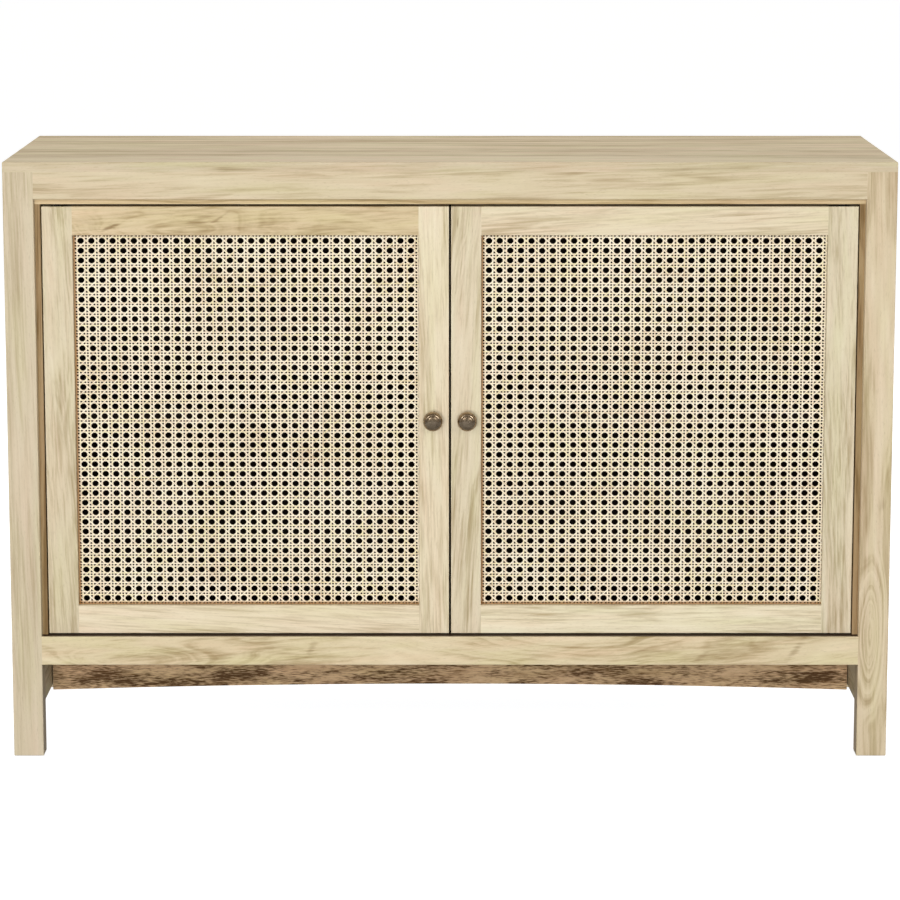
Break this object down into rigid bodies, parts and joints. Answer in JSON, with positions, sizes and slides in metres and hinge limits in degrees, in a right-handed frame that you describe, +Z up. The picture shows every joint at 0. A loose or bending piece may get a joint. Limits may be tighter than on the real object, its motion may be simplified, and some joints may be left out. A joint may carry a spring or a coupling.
{
  "type": "record cabinet",
  "caption": "Low wooden cabinet on square legs, with a shelf behind a pair of inset doors that have woven cane panels and round metal knobs.",
  "frame": {"origin": "on the floor, under the middle of the whole object's box, knobs included", "axes": "+X to the right of someone facing the doors, along the longest side; +Y to the back, along the shortest side, so the doors face -Y; +Z up"},
  "size_m": [1.1176, 0.4172, 0.762],
  "materials": {
    "mango_wood": "planed, pale natural oil",
    "rough_mango_wood": "sawn, brown, unfinished",
    "plywood": "sanded, plain",
    "woven_cane": "natural, satin skin",
    "aged_iron": "aged, polished by hand",
    "zinc_steel": "zinc plated",
    "brown_plastic": "moulded, matt",
    "ferrite_magnet": "sintered, dark grey"
  },
  "bodies": {
    "carcass": {"top_board": "mango_wood", "leg_front_left": "mango_wood", "leg_front_right": "mango_wood", "leg_back_left": "mango_wood", "leg_back_right": "mango_wood", "top_rail_front": "mango_wood", "top_rail_back": "mango_wood", "top_rail_side_left": "mango_wood", "top_rail_side_right": "mango_wood", "bottom_rail_front": "mango_wood", "bottom_rail_back": "mango_wood", "bottom_rail_side_left": "mango_wood", "bottom_rail_side_right": "mango_wood", "under_rail": "rough_mango_wood", "top_corner_blocks": "rough_mango_wood", "base_corner_blocks": "rough_mango_wood", "side_panel_left": "mango_wood", "side_panel_right": "mango_wood", "back_panel": "plywood", "floor_board": "mango_wood", "floor_batten_front": "rough_mango_wood", "floor_batten_back": "rough_mango_wood", "shelf": "mango_wood", "shelf_batten_left": "rough_mango_wood", "shelf_batten_right": "rough_mango_wood", "head_liner": "mango_wood", "side_liner_left": "mango_wood", "side_liner_right": "mango_wood", "hinge_leaves_case": "zinc_steel", "catch_cases": "brown_plastic", "catch_magnets": "ferrite_magnet"},
    "left_door": {"hinge_stile_left": "mango_wood", "meeting_stile_left": "mango_wood", "door_rail_bottom_left": "mango_wood", "door_rail_top_left": "mango_wood", "cane_panel_left": "woven_cane", "cane_beads_left": "mango_wood", "knob_left": "aged_iron", "knob_screw_left": "zinc_steel", "hinge_leaves_door_left": "zinc_steel", "strike_plate_left": "zinc_steel"},
    "right_door": {"hinge_stile_right": "mango_wood", "meeting_stile_right": "mango_wood", "door_rail_bottom_right": "mango_wood", "door_rail_top_right": "mango_wood", "cane_panel_right": "woven_cane", "cane_beads_right": "mango_wood", "knob_right": "aged_iron", "knob_screw_right": "zinc_steel", "hinge_leaves_door_right": "zinc_steel", "strike_plate_right": "zinc_steel"}
  },
  "joints": [
    {"name": "left_door_hinge", "type": "hinge", "parent": "carcass", "child": "left_door", "pos_m": [-0.4922, -0.1791, 0.43155], "axis": [0, 0, -1], "range_deg": [0, 110]},
    {"name": "right_door_hinge", "type": "hinge", "parent": "carcass", "child": "right_door", "pos_m": [0.4922, -0.1791, 0.43155], "axis": [0, 0, 1], "range_deg": [0, 110]}
  ]
}
